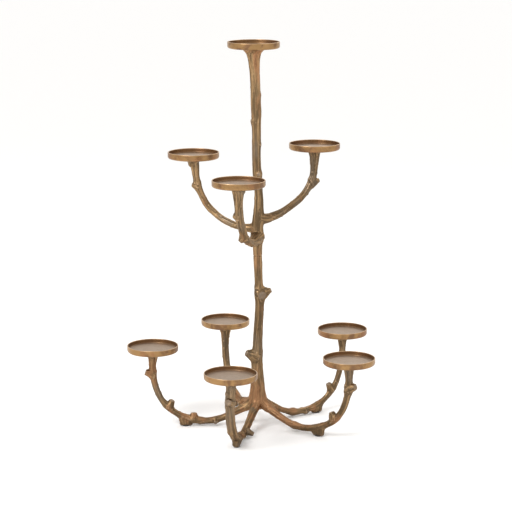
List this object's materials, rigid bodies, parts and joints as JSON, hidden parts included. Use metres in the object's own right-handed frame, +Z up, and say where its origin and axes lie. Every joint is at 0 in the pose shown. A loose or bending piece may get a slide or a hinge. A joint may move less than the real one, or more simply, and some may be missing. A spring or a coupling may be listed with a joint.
{
  "type": "candelabra",
  "caption": "Tabletop candelabra cast as a branching twig, with a slender trunk and two tiers of curved arms that end in shallow round pans for pillar candles.",
  "frame": {"origin": "centre of the outer box, on the surface that the feet stand on", "axes": "+Z up along the trunk; -Y towards the front, the side with one low arm and one high arm facing the viewer; +X to the viewer's right"},
  "size_m": [0.421, 0.4382, 0.6642],
  "materials": {
    "cast_brass": "antique brass patina over a bark-textured casting, satin, dark in the hollows and worn bright on the ridges",
    "pan_brass": "antique brass, turned and lightly brushed, satin",
    "stud_steel": "plain zinc-plated stud",
    "felt": "dark brown felt"
  },
  "bodies": {
    "root": {"trunk_lower": "cast_brass", "trunk_upper": "cast_brass", "trunk_stud": "stud_steel", "lower_arm_front": "cast_brass", "lower_stud_front": "stud_steel", "lower_pan_front": "pan_brass", "foot_pad_front": "felt", "lower_arm_right": "cast_brass", "lower_stud_right": "stud_steel", "lower_pan_right": "pan_brass", "foot_pad_right": "felt", "lower_arm_rear_right": "cast_brass", "lower_stud_rear_right": "stud_steel", "lower_pan_rear_right": "pan_brass", "foot_pad_rear_right": "felt", "lower_arm_rear_left": "cast_brass", "lower_stud_rear_left": "stud_steel", "lower_pan_rear_left": "pan_brass", "foot_pad_rear_left": "felt", "lower_arm_left": "cast_brass", "lower_stud_left": "stud_steel", "lower_pan_left": "pan_brass", "foot_pad_left": "felt", "upper_arm_front": "cast_brass", "upper_stud_front": "stud_steel", "upper_pan_front": "pan_brass", "upper_arm_left": "cast_brass", "upper_stud_left": "stud_steel", "upper_pan_left": "pan_brass", "upper_arm_right": "cast_brass", "upper_stud_right": "stud_steel", "upper_pan_right": "pan_brass", "top_pan": "pan_brass"}
  },
  "joints": []
}
